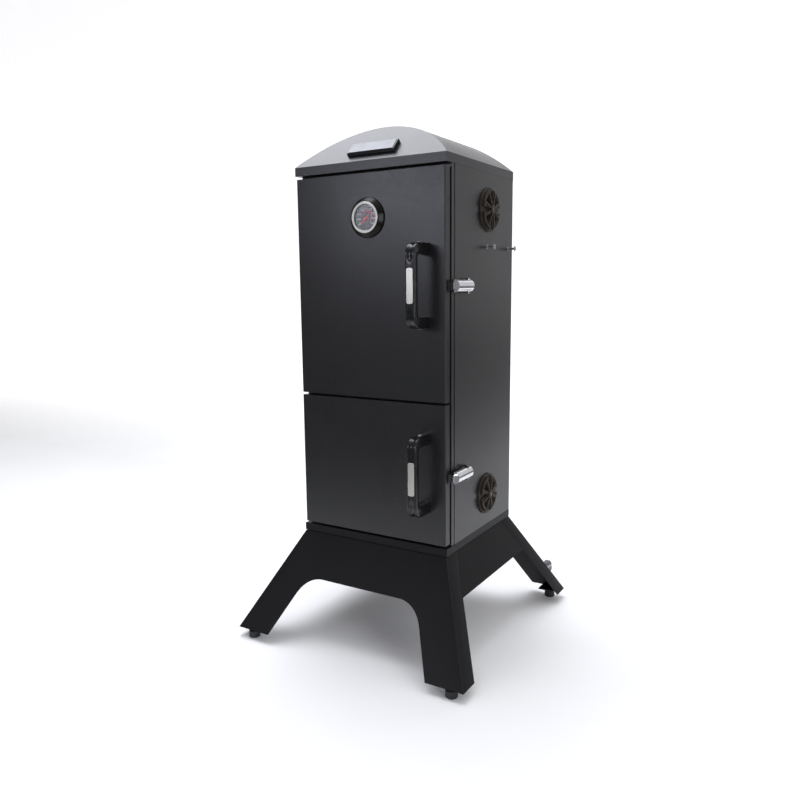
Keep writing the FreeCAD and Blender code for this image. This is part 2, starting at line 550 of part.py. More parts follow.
# ---- side catches -------------------------------------------------------
def catch(zc):
    px_, py_ = latch_pivot_x, latch_pivot_y
    # base: plate on the wall, two low ears that carry the pivot pin
    base = box(cab_hw, cab_hw + 2.0, py_ - 15, py_ + 10, zc - 16.4, zc + 16.4)
    ears = []
    for s in (-1, 1):
        za, zb = sorted((zc + s * 14.8, zc + s * 16.4))
        e = box(cab_hw + 1.0, px_, py_ - 6, py_ + 6, za, zb).fuse(cyl(px_, py_, za, (0, 0, 1), 6.0, zb - za))
        ears.append(e)
    base = fuse([base] + ears)
    base = base.cut(cyl(px_, py_, zc - 30, (0, 0, 1), 2.5, 60))
    pin = fuse([cyl(px_, py_, zc - 17.6, (0, 0, 1), 2.5, 35.2), cyl(px_, py_, zc + 16.4, (0, 0, 1), 3.6, 1.2),
                cyl(px_, py_, zc - 17.6, (0, 0, 1), 3.6, 1.2)])
    # lever: half-round shell, nose towards the door, a groove above its lower lip
    y0, y1 = py_ - 64.6, py_ + 10.5
    body = cyl(px_ - 4.0, y0, zc, (0, 1, 0), 14.8, y1 - y0)
    body = body.common(box(px_ - 4.0, px_ + 20, y0, y1, zc - 14.2, zc + 14.2))
    body = body.cut(cyl(px_ - 4.0, y0 + 1.5, zc, (0, 1, 0), 12.8, y1 - y0 - 3.0).common(
        box(px_ - 5.0, px_ + 20, y0 + 1.5, y1 - 1.5, zc - 12.6, zc + 12.6)))
    body = body.cut(box(px_ - 5.0, px_ + 20, y0 - 1, y1 + 1, zc - 9.4, zc - 8.0).cut(
        cyl(px_ - 4.0, y0 - 2, zc, (0, 1, 0), 13.5, y1 - y0 + 4)))
    knuckle = cyl(px_, py_, zc - 14.2, (0, 0, 1), 5.0, 28.4)
    nose = prism([(px_ - 4.0, y0 + 1, zc - 7.8), (px_ - 4.0, y0 - 4.5, zc - 7.8), (px_ - 2.0, y0 - 7.4, zc - 7.8),
                  (px_ + 2.5, y0 - 6.6, zc - 7.8), (px_ + 6.5, y0 + 1, zc - 7.8)], (0, 0, 15.6))
    lever = fuse([body, knuckle, nose]).cut(cyl(px_, py_, zc - 30, (0, 0, 1), 2.56, 60))
    # keeper on the door's edge, inside the nose's path
    xd = door_w / 2
    keep = box(xd, xd + 1.2, y_front + 10.5, y_front + door_t - 0.6, zc - 12, zc + 12)
    keep = fuse([keep, prism([(xd, y_front + 12.0, zc - 9), (xd + 8.8, y_front + 15.0, zc - 9),
                              (xd + 8.8, y_front + 19.5, zc - 9), (xd, y_front + 21.0, zc - 9)], (0, 0, 18.0))])
    return base, pin, lever, keep

bases, lpins = [], []
for name, z in (("lower", latch_z[0]), ("upper", latch_z[1])):
    b, p, l, kp = catch(z)
    bases.append(b)
    lpins.append(p)
    parts[name + "_catch_lever"] = l
    parts[name + "_catch_keeper"] = kp
parts["catch_bases"] = group(bases)
parts["catch_pins"] = group(lpins)

# ---- inside -------------------------------------------------------------
xin = cab_hw - sheet
rack_z = (730.0, 830.0, 930.0, 1015.0)
pan_z = 640.0
basket_z = 478.0
rails = []
for z in (basket_z, pan_z) + rack_z:
    for sx in (-1, 1):
        xa, xb = sorted((sx * xin, sx * (xin - 1.5)))
        xc, xd_ = sorted((sx * xin, sx * (xin - 18.0)))
        rails.append(box(xa, xb, -125.0, 160.0, z - 14, z).fuse(box(xc, xd_, -125.0, 160.0, z - 1.5, z)).removeSplitter())
parts["rack_rails"] = group(rails)

def grate(z):
    hw, y0, y1 = 196.0, -122.0, 158.0
    r = 3.0
    rods = [cyl(-hw, y0, z, (1, 0, 0), r, 2 * hw), cyl(-hw, y1, z, (1, 0, 0), r, 2 * hw),
            cyl(-hw, y0, z, (0, 1, 0), r, y1 - y0), cyl(hw, y0, z, (0, 1, 0), r, y1 - y0)]
    for x in (-hw, hw):
        for y in (y0, y1):
            rods.append(Part.makeSphere(r, V(x, y, z)))
    rods.append(cyl(-184.0, 18.0, z - 1.5, (1, 0, 0), 2.5, 368.0))
    n = 15
    for i in range(1, n):
        x = -hw + 2 * hw * i / n
        rods.append(cyl(x, y0, z + 1.0, (0, 1, 0), 2.0, y1 - y0))
    return fuse(rods)

parts["cooking_grates"] = group([grate(z + 3.0) for z in rack_z])

# water pan on the lowest pair of rails
def tray(hw, y0, y1, z0, z1, t, lip, taper):
    # tapered open pan with a rolled-out lip
    def w(dx, z, ins=0.0):
        p = [V(-hw + dx + ins, y0 + dx + ins, z), V(hw - dx - ins, y0 + dx + ins, z),
             V(hw - dx - ins, y1 - dx - ins, z), V(-hw + dx + ins, y1 - dx - ins, z)]
        return Part.makePolygon(p + [p[0]])
    o = Part.makeLoft([w(taper, z0), w(0, z1)], True, True)
    i = Part.makeLoft([w(taper, z0 + t, t), w(-0.0, z1 + 0.001, t)], True, True)
    s = o.cut(i)
    rim = box(-hw - lip, hw + lip, y0 - lip, y1 + lip, z1 - t, z1).cut(
        box(-hw + t, hw - t, y0 + t, y1 - t, z1 - 5, z1 + 5))
    return fuse([s, rim])

parts["water_pan"] = tray(176.0, -108.0, 140.0, 585.0, pan_z + 1.8, 1.8, 14.0, 12.0)

# charcoal basket: slotted sheet-steel box hung on its rim
bk_hw, bk_y0, bk_y1, bk_z0, bk_z1 = 172.0, -112.0, 140.0, 372.0, basket_z + 2.0
bk = box(-bk_hw, bk_hw, bk_y0, bk_y1, bk_z0, bk_z1)
bk = bk.fuse(box(-bk_hw - 24.0, bk_hw + 24.0, bk_y0, bk_y1, bk_z1 - 2.0, bk_z1))
bk = bk.cut(box(-bk_hw + 2, bk_hw - 2, bk_y0 + 2, bk_y1 - 2, bk_z0 + 2, bk_z1 + 5))
for i in range(-4, 5):
    x = i * 36.0
    bk = bk.cut(box(x - 9, x + 9, bk_y0 - 5, bk_y1 + 5, bk_z0 + 22, bk_z1 - 26))
for i in range(-3, 4):
    y = (bk_y0 + bk_y1) / 2 + i * 34.0
    bk = bk.cut(box(-bk_hw - 5, bk_hw + 5, y - 8, y + 8, bk_z0 + 22, bk_z1 - 26))
for i in range(-4, 5):
    for j in range(-3, 4):
        x, y = i * 36.0, (bk_y0 + bk_y1) / 2 + j * 34.0
        bk = bk.cut(box(x - 10, x + 10, y - 9, y + 9, bk_z0 - 5, bk_z0 + 4))
parts["charcoal_basket"] = bk.removeSplitter()
parts["ash_pan"] = tray(164.0, -128.0, 150.0, z_rail_top, 322.0, 1.6, 8.0, 8.0)

# ---- export -------------------------------------------------------------
os.makedirs("parts", exist_ok=True)
for name in sorted(parts):
    s = parts[name].copy()
    s.translate(V(0, y_shift, 0))
    if not s.isValid():
        print("invalid", name)
    s.exportStep("parts/" + name + ".step")
lo, hi = [1e9] * 3, [-1e9] * 3
for name, s in parts.items():
    for v in s.tessellate(0.1)[0]:
        for a in range(3):
            c = v[a] + (y_shift if a == 1 else 0.0)
            lo[a], hi[a] = min(lo[a], c), max(hi[a], c)
print(len(parts), "parts", ["%.3f" % c for c in lo], ["%.3f" % c for c in hi])
for name in sorted(parts):
    s = parts[name]
    print("%-26s solids %d vol %.1f" % (name, len(s.Solids), s.Volume / 1000.0))
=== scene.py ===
import json
import math
import bpy
import bmesh
from mathutils import Matrix, Vector
from mathutils.geometry import tessellate_polygon


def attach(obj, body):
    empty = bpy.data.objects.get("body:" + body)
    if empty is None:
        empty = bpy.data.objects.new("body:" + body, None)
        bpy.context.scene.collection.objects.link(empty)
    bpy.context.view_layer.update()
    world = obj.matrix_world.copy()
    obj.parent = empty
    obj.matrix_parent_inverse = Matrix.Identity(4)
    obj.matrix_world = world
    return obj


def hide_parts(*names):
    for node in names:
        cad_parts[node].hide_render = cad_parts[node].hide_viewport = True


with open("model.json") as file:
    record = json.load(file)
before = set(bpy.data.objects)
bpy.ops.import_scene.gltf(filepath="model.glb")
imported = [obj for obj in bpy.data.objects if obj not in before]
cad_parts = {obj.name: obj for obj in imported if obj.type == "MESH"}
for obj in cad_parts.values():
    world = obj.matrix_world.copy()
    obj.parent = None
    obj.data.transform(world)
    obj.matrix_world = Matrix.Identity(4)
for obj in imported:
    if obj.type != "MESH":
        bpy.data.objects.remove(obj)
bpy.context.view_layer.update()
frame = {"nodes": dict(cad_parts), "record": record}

NODES = frame["nodes"]
BODY_OF = {n: b for b, ns in frame["record"]["behaviour"]["bodies"].items() for n in ns}
SLOT_OF = {s["node"]: s["material_slot"] for s in frame["record"]["subparts"]}
MM = 0.001


# ------------------------------------------------------------------ node helpers
class Mat:
    def __init__(self, name):
        self.m = bpy.data.materials.new(name)
        self.m.use_nodes = True
        self.t = self.m.node_tree
        self.t.nodes.clear()
        self.out = self.t.nodes.new("ShaderNodeOutputMaterial")
        self.bsdf = self.t.nodes.new("ShaderNodeBsdfPrincipled")
        self.t.links.new(self.bsdf.outputs[0], self.out.inputs[0])
        self.co = self.t.nodes.new("ShaderNodeTexCoord").outputs["Object"]

    def set(self, **kw):
        for k, v in kw.items():
            self.bsdf.inputs[k.replace("_", " ")].default_value = v
        return self

    def node(self, kind, **kw):
        n = self.t.nodes.new(kind)
        for k, v in kw.items():
            setattr(n, k, v)
        return n

    def link(self, a, b):
        self.t.links.new(a, b)

    def scaled(self, sx, sy, sz, rot=(0, 0, 0), src=None):
        n = self.node("ShaderNodeMapping")
        n.inputs["Scale"].default_value = (sx, sy, sz)
        n.inputs["Rotation"].default_value = rot
        self.link(src or self.co, n.inputs["Vector"])
        return n.outputs[0]

    def noise(self, scale, detail=2.0, rough=0.5, src=None, dist=0.0):
        n = self.node("ShaderNodeTexNoise")
        n.inputs["Scale"].default_value = scale
        n.inputs["Detail"].default_value = detail
        n.inputs["Roughness"].default_value = rough
        n.inputs["Distortion"].default_value = dist
        self.link(src or self.co, n.inputs["Vector"])
        return n.outputs["Fac"]

    def voronoi(self, scale, src=None, feature="F1", rnd=1.0):
        n = self.node("ShaderNodeTexVoronoi", feature=feature)
        n.inputs["Scale"].default_value = scale
        n.inputs["Randomness"].default_value = rnd
        self.link(src or self.co, n.inputs["Vector"])
        return n.outputs["Distance"]

    def ramp(self, fac, stops):
        n = self.node("ShaderNodeValToRGB")
        e = n.color_ramp.elements
        while len(e) > 1:
            e.remove(e[-1])
        e[0].position, e[0].color = stops[0][0], (*stops[0][1], 1)
        for p, c in stops[1:]:
            x = e.new(p)
            x.color = (*c, 1)
        self.link(fac, n.inputs[0])
        return n.outputs[0]

    def range(self, fac, a, b, c, d):
        n = self.node("ShaderNodeMapRange")
        for i, v in enumerate((a, b, c, d)):
            n.inputs[i + 1].default_value = v
        self.link(fac, n.inputs[0])
        return n.outputs[0]

    def math(self, op, a, b=None, clamp=False):
        n = self.node("ShaderNodeMath", operation=op, use_clamp=clamp)
        for i, v in enumerate((a, b)):
            if v is None:
                continue
            if isinstance(v, (int, float)):
                n.inputs[i].default_value = v
            else:
                self.link(v, n.inputs[i])
        return n.outputs[0]

    def mix(self, fac, a, b, mode="MIX"):
        n = self.node("ShaderNodeMix", data_type="RGBA", blend_type=mode)
        for sock, v in ((n.inputs["Factor"], fac), (n.inputs["A"], a), (n.inputs["B"], b)):
            if isinstance(v, (int, float)):
                sock.default_value = v
            elif isinstance(v, tuple):
                sock.default_value = (*v, 1)
            else:
                self.link(v, sock)
        # colour sockets of the mix node sit after the float ones
        for i, v in ((6, a), (7, b)):
            if isinstance(v, tuple):
                n.inputs[i].default_value = (*v, 1)
            elif not isinstance(v, (int, float)):
                self.link(v, n.inputs[i])
        return n.outputs[2]

    def bump(self, height, strength, distance, prev=None):
        n = self.node("ShaderNodeBump")
        n.inputs["Strength"].default_value = strength
        n.inputs["Distance"].default_value = distance
        self.link(height, n.inputs["Height"])
        if prev is not None:
            self.link(prev, n.inputs["Normal"])
        return n.outputs[0]

    def colour(self, c):
        self.link(c, self.bsdf.inputs["Base Color"])

    def rough(self, r):
        self.link(r, self.bsdf.inputs["Roughness"])

    def normal(self, n):
        self.link(n, self.bsdf.inputs["Normal"])


def edge_mask(m, radius):
    """Mask of convex and concave edges, from the difference between rounded and true normals; the materials use it to
    paint edge highlights.
    """
    b = m.node("ShaderNodeBevel", samples=4)
    b.inputs["Radius"].default_value = radius
    g = m.node("ShaderNodeNewGeometry")
    d = m.node("ShaderNodeVectorMath", operation="DOT_PRODUCT")
    m.link(b.outputs[0], d.inputs[0])
    m.link(g.outputs["Normal"], d.inputs[1])
    return m.range(d.outputs["Value"], 0.995, 0.86, 0.0, 1.0)


def powder(name, dark, light, rough=(0.36, 0.46), grain=1.0, spec=0.5, metal=0.0):
    m = Mat(name)
    fine = m.noise(1500.0, 2.0, 0.6)
    mid = m.noise(420.0, 3.0, 0.55)
    big = m.noise(5.0, 2.0, 0.5)
    speck = m.voronoi(900.0)
    c = m.ramp(fine, [(0.34, dark), (0.5, tuple((a + b) / 2 for a, b in zip(dark, light))), (0.68, light)])
    c = m.mix(m.range(big, 0.3, 0.7, 0.0, 0.22), c, tuple(x * 0.8 for x in dark))
    sp = m.range(speck, 0.06, 0.16, 1.0, 0.0)
    c = m.mix(m.math("MULTIPLY", sp, 0.5), c, tuple(min(1, x * 1.9) for x in light))
    # painted highlight: the coat is lightened along convex and concave edges, standing in for reflections on the bends
    e = edge_mask(m, 0.0009)
    edge_highlight = m.math("MULTIPLY", e, m.range(m.noise(60.0, 3.0, 0.6), 0.5, 0.72, 0.05, 0.4))
    c = m.mix(edge_highlight, c, tuple(min(1, x * 2.2 + 0.01) for x in light))
    m.colour(c)
    r = m.range(mid, 0.3, 0.7, rough[0], rough[1])
    r = m.math("ADD", r, m.range(big, 0.3, 0.7, -0.02, 0.03))
    m.rough(r)
    h = m.math("ADD", m.math("MULTIPLY", fine, 0.5), m.math("MULTIPLY", mid, 0.7))
    n = m.bump(h, 0.22 * grain, 0.00035)
    m.normal(n)
    m.set(Specular_IOR_Level=spec, Metallic=metal)
    return m.m


def brushed(name, a, b, rough=(0.26, 0.4), axis="z", stretch=60.0, scale=900.0, aniso=0.0, edge_highlight_colour=None):
    m = Mat(name)
    s = {"x": (1 / stretch, 1, 1), "y": (1, 1 / stretch, 1), "z": (1, 1, 1 / stretch)}[axis]
    v = m.scaled(*s)
    lines = m.noise(scale, 4.0, 0.65, src=v)
    lines2 = m.noise(scale * 3.1, 2.0, 0.6, src=v)
    cloud = m.noise(14.0, 3.0, 0.55)
    c = m.ramp(lines, [(0.3, a), (0.7, b)])
    c = m.mix(m.range(cloud, 0.35, 0.7, 0.0, 0.35), c, tuple(x * 0.82 for x in a))
    # painted highlight: a lighter colour mixed in along the edges, standing in for reflections on the rounded rims
    if edge_highlight_colour:
        c = m.mix(m.math("MULTIPLY", edge_mask(m, 0.0006), 0.5), c, edge_highlight_colour)
    m.colour(c)
    r = m.range(lines2, 0.3, 0.7, rough[0], rough[1])
    m.rough(m.math("ADD", r, m.range(cloud, 0.3, 0.7, -0.03, 0.05)))
    m.normal(m.bump(lines, 0.12, 0.00012))
    m.set(Metallic=1.0)
    return m.m


def chrome(name, tint=(0.78, 0.78, 0.8), rough=(0.06, 0.16)):
    m = Mat(name)
    smudge = m.noise(38.0, 4.0, 0.6)
    fine = m.noise(900.0, 2.0, 0.5)
    c = m.ramp(smudge, [(0.3, tuple(x * 0.88 for x in tint)), (0.7, tint)])
    # painted highlight: near-white mixed in along the edges
    c = m.mix(m.math("MULTIPLY", edge_mask(m, 0.0005), 0.35), c, (0.95, 0.95, 0.96))
    m.colour(c)
    m.rough(m.range(smudge, 0.3, 0.75, rough[0], rough[1]))
    m.normal(m.bump(fine, 0.04, 0.0001))
    m.set(Metallic=1.0)
    return m.m


def gloss_resin(name, base=(0.008, 0.008, 0.009), rough=(0.1, 0.2), spec=0.55, coat=0.4):
    m = Mat(name)
    mould = m.noise(160.0, 3.0, 0.5)
    fine = m.noise(2200.0, 2.0, 0.5)
    m.colour(m.ramp(mould, [(0.3, tuple(x * 0.8 for x in base)), (0.7, tuple(x * 1.35 for x in base))]))
    m.rough(m.range(m.noise(70.0, 4.0, 0.62), 0.3, 0.75, rough[0], rough[1]))
    n = m.bump(mould, 0.05, 0.0006)
    m.normal(m.bump(fine, 0.05, 0.00008, prev=n))
    m.set(Specular_IOR_Level=spec, Coat_Weight=coat, Coat_Roughness=0.06)
    return m.m


def cast_iron(name):
    m = Mat(name)
    sand = m.noise(700.0, 5.0, 0.68)
    pit = m.voronoi(420.0)
    cloud = m.noise(30.0, 4.0, 0.6)
    c = m.ramp(cloud, [(0.3, (0.019, 0.014, 0.011)), (0.52, (0.032, 0.025, 0.02)), (0.74, (0.055, 0.043, 0.034))])
    c = m.mix(m.range(sand, 0.45, 0.75, 0.0, 0.35), c, (0.085, 0.07, 0.058))
    # painted highlight: lighter colour along the cast edges, standing in for glints
    c = m.mix(m.math("MULTIPLY", edge_mask(m, 0.0008), 0.45), c, (0.13, 0.105, 0.085))
    m.colour(c)
    m.rough(m.range(sand, 0.3, 0.75, 0.5, 0.72))
    h = m.math("ADD", sand, m.math("MULTIPLY", m.range(pit, 0.0, 0.25, 0.0, 1.0), 0.5))
    m.normal(m.bump(h, 0.4, 0.00035))
    m.set(Metallic=0.35, Specular_IOR_Level=0.45)
    return m.m


def enamel(name):
    m = Mat(name)
    sp = m.voronoi(260.0)
    c = m.mix(m.range(sp, 0.05, 0.13, 1.0, 0.0), (0.009, 0.009, 0.011), (0.3, 0.31, 0.33))
    c = m.mix(m.range(m.noise(9.0, 3.0, 0.6), 0.45, 0.75, 0.0, 0.5), c, (0.018, 0.014, 0.011))
    m.colour(c)
    m.rough(m.range(m.noise(24.0, 4.0, 0.6), 0.3, 0.75, 0.12, 0.32))
    m.normal(m.bump(m.noise(90.0, 2.0, 0.5), 0.08, 0.0006))
    m.set(Coat_Weight=0.5, Coat_Roughness=0.08)
    return m.m


def raw_steel(name):
    m = Mat(name)
    heat = m.noise(11.0, 4.0, 0.6)
    scale_ = m.noise(260.0, 5.0, 0.7)
    c = m.ramp(heat, [(0.25, (0.10, 0.085, 0.075)), (0.45, (0.16, 0.135, 0.115)), (0.6, (0.13, 0.12, 0.13)), (0.8, (0.21, 0.18, 0.15))])
    c = m.mix(m.range(scale_, 0.5, 0.8, 0.0, 0.6), c, (0.05, 0.042, 0.038))
    m.colour(c)
    m.rough(m.range(scale_, 0.3, 0.8, 0.36, 0.66))
    m.normal(m.bump(scale_, 0.16, 0.0003))
    m.set(Metallic=0.85)
    return m.m


def moulded(name, base=(0.012, 0.012, 0.013), rough=(0.42, 0.58)):
    m = Mat(name)
    f = m.noise(1300.0, 3.0, 0.6)
    c = m.ramp(m.noise(45.0, 3.0, 0.6), [(0.3, tuple(x * 0.75 for x in base)), (0.75, tuple(x * 1.6 for x in base))])
    # painted highlight: lighter colour along the moulded edges
    c = m.mix(m.math("MULTIPLY", edge_mask(m, 0.0007), 0.4), c, tuple(x * 3.0 + 0.01 for x in base))
    m.colour(c)
    m.rough(m.range(f, 0.3, 0.7, rough[0], rough[1]))
    m.normal(m.bump(f, 0.2, 0.00025))
    m.set(Specular_IOR_Level=0.4)
    return m.m


def cord_fabric(name):
    m = Mat(name)
    w = m.node("ShaderNodeTexWave", wave_type="BANDS", bands_direction="DIAGONAL")
    w.inputs["Scale"].default_value = 260.0
    w.inputs["Distortion"].default_value = 1.2
    w.inputs["Detail"].default_value = 2.0
    m.link(m.co, w.inputs["Vector"])
    fuzz = m.noise(1600.0, 3.0, 0.65)
    c = m.ramp(w.outputs["Fac"], [(0.1, (0.05, 0.048, 0.045)), (0.6, (0.17, 0.165, 0.155)), (1.0, (0.24, 0.235, 0.22))])
    c = m.mix(m.range(m.noise(18.0, 3.0, 0.6), 0.4, 0.75, 0.0, 0.55), c, (0.045, 0.038, 0.03))
    m.colour(c)
    m.rough(m.range(fuzz, 0.3, 0.7, 0.8, 0.95))
    h = m.math("ADD", w.outputs["Fac"], m.math("MULTIPLY", fuzz, 0.4))
    m.normal(m.bump(h, 0.6, 0.0005))
    m.set(Sheen_Weight=0.3, Sheen_Roughness=0.5)
    return m.m


def dial_print(name):
    m = Mat(name)
    paper = m.noise(1200.0, 3.0, 0.6)
    c = m.ramp(paper, [(0.3, (0.095, 0.103, 0.118)), (0.7, (0.13, 0.14, 0.158))])
    c = m.mix(m.range(m.noise(40.0, 2.0, 0.5), 0.4, 0.7, 0.0, 0.3), c, (0.08, 0.087, 0.1))
    m.colour(c)
    m.rough(m.range(paper, 0.3, 0.7, 0.35, 0.5))
    m.normal(m.bump(paper, 0.08, 0.0001))
    return m.m


def ink(name, a, b, rough=0.4):
    m = Mat(name)
    f = m.noise(1500.0, 3.0, 0.6)
    m.colour(m.ramp(f, [(0.3, a), (0.7, b)]))
    m.rough(m.range(f, 0.3, 0.7, rough - 0.06, rough + 0.08))
    m.normal(m.bump(f, 0.1, 0.0001))
    return m.m


def clear_glass(name):
    m = Mat(name)
    sm = m.noise(60.0, 3.0, 0.6)
    m.colour(m.ramp(sm, [(0.3, (0.93, 0.95, 0.96)), (0.7, (0.97, 0.98, 0.99))]))
    m.rough(m.range(sm, 0.3, 0.7, 0.02, 0.06))
    m.set(Transmission_Weight=1.0, IOR=1.45, Alpha=0.14)
    return m.m


def tyre_rubber(name):
    m = Mat(name)
    f = m.noise(700.0, 4.0, 0.6)
    c = m.ramp(m.noise(55.0, 3.0, 0.6), [(0.3, (0.075, 0.075, 0.08)), (0.72, (0.13, 0.13, 0.135))])
    c = m.mix(m.range(f, 0.55, 0.8, 0.0, 0.4), c, (0.2, 0.195, 0.185))
    m.colour(c)
    m.rough(m.range(f, 0.3, 0.7, 0.45, 0.62))
    m.normal(m.bump(f, 0.2, 0.0003))
    return m.m


M = {
    "powder_coat": powder("powder_coat", (0.0065, 0.0064, 0.0071), (0.0135, 0.0133, 0.0148), (0.27, 0.37), 0.3),
    # the legs, skirts and base pan get a copy of the powder coat with far lower specular so they render darker, a
    # shaded copy standing in for the shade on the lower parts
    "leg_coat": powder("leg_coat", (0.0092, 0.0091, 0.0098), (0.0165, 0.0162, 0.0174), (0.3, 0.42), 0.5, 0.07),
    # painted highlight: a much lighter copy of the coat for the front leg's bend faces
    "fold_coat": powder("fold_coat", (0.035, 0.035, 0.042), (0.055, 0.055, 0.066), (0.3, 0.42), 0.5, 0.3),
    "bezel_resin": gloss_resin("bezel_resin", (0.004, 0.0032, 0.003), (0.16, 0.3), 0.17, 0.0),
    "ring_satin": brushed("ring_satin", (0.54, 0.525, 0.49), (0.66, 0.645, 0.60), (0.42, 0.52), "x", 40.0, 1500.0, edge_highlight_colour=(0.6, 0.59, 0.56)),
    "zinc_steel": brushed("zinc_steel", (0.30, 0.30, 0.31), (0.44, 0.44, 0.45), (0.34, 0.5), "z", 8.0, 500.0),
    "door_cord": cord_fabric("door_cord"),
    "black_resin": gloss_resin("black_resin", (0.006, 0.006, 0.0065), (0.18, 0.3), 0.4, 0.1),
    "satin_steel": brushed("satin_steel", (0.60, 0.58, 0.54), (0.77, 0.75, 0.70), (0.3, 0.42), "z", 40.0, 1500.0, edge_highlight_colour=(0.92, 0.92, 0.9)),
    "satin_plate": brushed("satin_plate", (0.17, 0.172, 0.18), (0.22, 0.223, 0.233), (0.48, 0.6), "x", 40.0, 1500.0, edge_highlight_colour=(0.7, 0.7, 0.72)),
    "chrome_wire": chrome("chrome_wire"),
    "dial_face": dial_print("dial_face"),
    "dial_glass": clear_glass("dial_glass"),
    "needle_red": ink("needle_red", (0.66, 0.08, 0.08), (0.82, 0.13, 0.12)),
    "ink_white": ink("ink_white", (0.80, 0.82, 0.86), (0.92, 0.94, 0.96)),
    "ink_red": ink("ink_red", (0.62, 0.08, 0.09), (0.78, 0.12, 0.13)),
    "black_steel": powder("black_steel", (0.005, 0.005, 0.0055), (0.012, 0.012, 0.013), (0.28, 0.4), 0.6),
    "damper_iron": cast_iron("damper_iron"),
    "plated_screw": brushed("plated_screw", (0.11, 0.1, 0.09), (0.2, 0.18, 0.16), (0.35, 0.5), "x", 4.0, 900.0),
    "enamel": enamel("enamel"),
    "raw_steel": raw_steel("raw_steel"),
    "foot_plastic": moulded("foot_plastic"),
    "wheel_rubber": tyre_rubber("wheel_rubber"),
}


# ------------------------------------------------------------------ mesh helpers
def finish_mesh(name, bm, material, body, replaces=(), smooth_angle=35.0, bevel=0.0, segs=2, subdiv=0, bevel_angle=30.0):
    me = bpy.data.meshes.new(name)
    bmesh.ops.recalc_face_normals(bm, faces=bm.faces)
    ca = math.radians(smooth_angle)
    for f in bm.faces:
        f.smooth = True
    for e in bm.edges:
        e.smooth = not (len(e.link_faces) == 2 and e.calc_face_angle(0.0) > ca) and len(e.link_faces) == 2
    bm.to_mesh(me)
    bm.free()
    o = bpy.data.objects.new(name, me)
    bpy.context.scene.collection.objects.link(o)
    me.materials.append(M[material] if isinstance(material, str) else material)
    if bevel:
        b = o.modifiers.new("bevel", "BEVEL")
        b.width = bevel
        b.segments = segs
        b.limit_method = "ANGLE"
        b.angle_limit = math.radians(bevel_angle)
        b.harden_normals = True
        b.use_clamp_overlap = True
    if subdiv:
        s = o.modifiers.new("subdiv", "SUBSURF")
        s.levels = s.render_levels = subdiv
    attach(o, body)
    if replaces:
        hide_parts(*replaces)
    return o


def cad_bmesh(node, dissolve=True, merge=2e-5, angle=0.6):
    bm = bmesh.new()
    bm.from_mesh(NODES[node].data)
    bmesh.ops.remove_doubles(bm, verts=bm.verts, dist=merge)
    if dissolve:
        bmesh.ops.dissolve_limit(bm, angle_limit=math.radians(angle), verts=bm.verts, edges=bm.edges, use_dissolve_boundaries=False)
    return bm


def refine(node, bevel=0.0006, segs=2, material=None, smooth=35.0, dissolve=True, suffix="_v", bevel_angle=30.0):
    """A copy of the CAD node with folded or cast edges rounded, standing for the node."""
    bm = cad_bmesh(node, dissolve)
    return finish_mesh(node + suffix, bm, material or SLOT_OF[node], BODY_OF[node], (node,), smooth, bevel, segs, 0, bevel_angle)


for n, o in NODES.items():
    o.data.materials.clear()
    o.data.materials.append(M[SLOT_OF[n]])

SHEETS = ["front_frame", "roof_cover", "roof_front_cap", "roof_rear_cap", "upper_door", "lower_door"]
for n in SHEETS:
    refine(n, 0.0006, 2)
refine("base_pan", 0.0006, 2, "leg_coat")
# the wall wrap stands almost flush with the band's outer face
bm = cad_bmesh("cabinet_shell")
for v in bm.verts:
    if abs(v.co.x) > 0.2055:
        v.co.x += math.copysign(0.0009, v.co.x)
    if v.co.y > -0.008695 + 0.1812:
        v.co.y += 0.0012
finish_mesh("cabinet_shell_v", bm, "powder_coat", BODY_OF["cabinet_shell"], ("cabinet_shell",), 35.0, 0.0006, 2)
for n in ("upper_damper_disc", "lower_damper_disc", "damper_bases"):
    refine(n, 0.0006, 2)
for n in ("upper_catch_lever", "lower_catch_lever", "catch_bases", "catch_pins", "upper_catch_keeper", "lower_catch_keeper",
          "tool_pegs", "damper_screws", "nameplate_base", "foot_tabs", "wheel_brackets", "wheel_axles",
          "hinge_fixed_leaves", "upper_door_hinge_leaves", "lower_door_hinge_leaves"):
    refine(n, 0.0004, 2)
for n in ("foot_front_left", "foot_front_right", "foot_rear_left", "foot_rear_right"):
    refine(n, 0.0006, 2)
refine("nameplate", 0.0005, 2, "satin_plate")

# ------------------------------------------------------------------ legs and skirts
# bend radii on the fold lines, with a painted highlight on the front leg panel's bends, and a gap under the base rail
# with a dark strip behind it, painted shadow that makes the gap read as a shadow line
YC = -0.008695                      # the cabinet's centre plane
for n in ("front_leg_panel", "rear_leg_panel", "left_skirt", "right_skirt"):
    bm = cad_bmesh(n)
    for v in bm.verts:
        if v.co.z > 0.2612:
            v.co.z -= 0.0018
    if n.endswith("panel"):
        folds = []
        for e in bm.edges:
            d = e.verts[1].co - e.verts[0].co
            if d.length > 0.05 and len(e.link_faces) == 2 and e.calc_face_angle(0.0) > 0.4:
                d.normalize()
                lean = Vector((0.4835, 0.595, 1.0)).normalized()
                if abs(abs(d.x) - lean.x) < 0.02 and abs(abs(d.y) - lean.y) < 0.02:
                    folds.append(e)
        outer = [e for e in folds if max(abs(v.co.x) + abs(v.co.y - YC) for v in e.verts) > 0.388]
        bent = bmesh.ops.bevel(bm, geom=folds, offset=0.003, offset_type="OFFSET", segments=5, profile=0.5, affect="EDGES", clamp_overlap=True)
    # painted highlight: the front leg panel's bend faces take the lighter coat
    if n == "front_leg_panel":
        for f in bent["faces"]:
            f.material_index = 1
    o = finish_mesh(n + "_v", bm, "leg_coat", BODY_OF[n], (n,), 30.0, 0.0005, 2)
    if n == "front_leg_panel":
        o.data.materials.append(M["fold_coat"])

